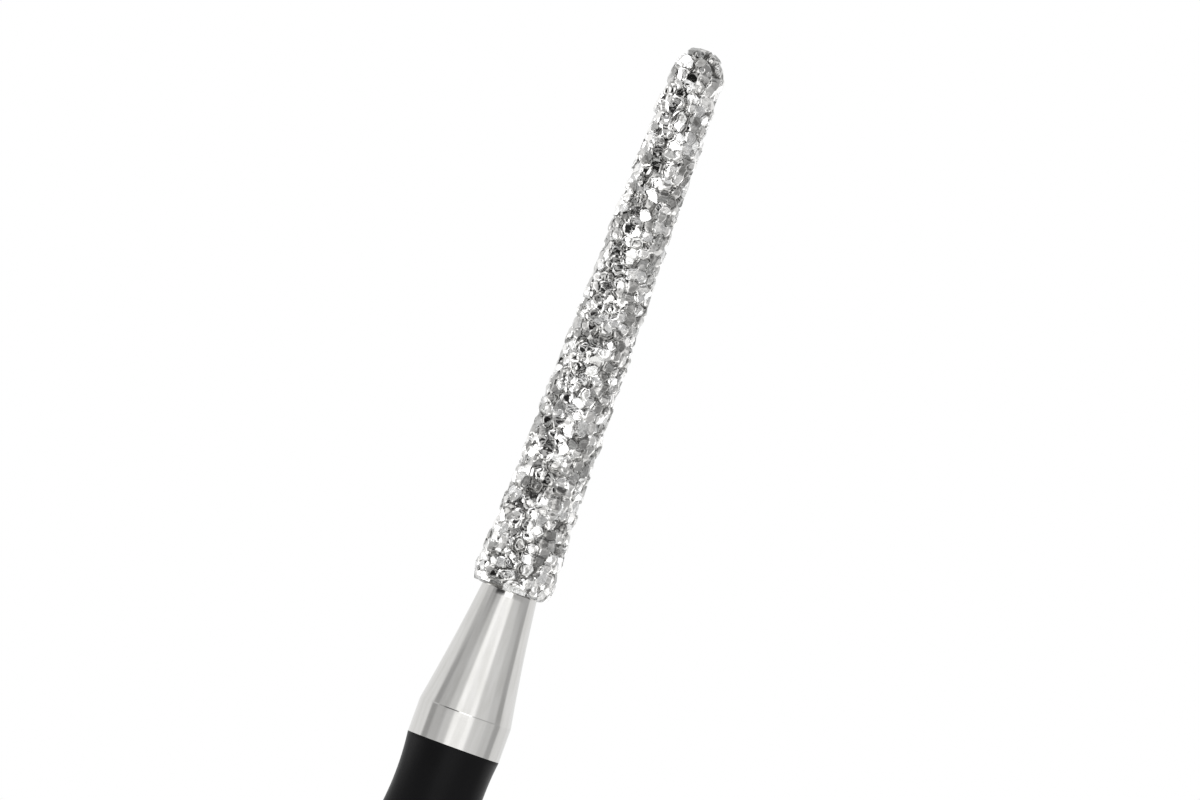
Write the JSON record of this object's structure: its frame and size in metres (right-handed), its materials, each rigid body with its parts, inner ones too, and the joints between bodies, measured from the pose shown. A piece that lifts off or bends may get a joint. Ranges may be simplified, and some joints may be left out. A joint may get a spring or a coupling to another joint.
{
  "type": "dental bur",
  "caption": "Long round-ended tapered diamond bur on a thin straight friction-grip shank, with a dark grit band.",
  "frame": {"origin": "centre of the shank's flat end face", "axes": "+Z along the bur's axis, from the shank's end to the rounded tip; X and Y are any two directions across it"},
  "size_m": [0.0016, 0.0016, 0.022],
  "materials": {
    "stainless_steel": "finely turned and polished stainless steel",
    "black_lacquer": "semi-gloss black lacquer",
    "diamond_in_nickel": "coarse clear diamond crystals bound in bright nickel plating"
  },
  "bodies": {
    "root": {"shank_blank": "stainless_steel", "colour_band": "black_lacquer", "diamond_coat": "diamond_in_nickel"}
  },
  "joints": []
}
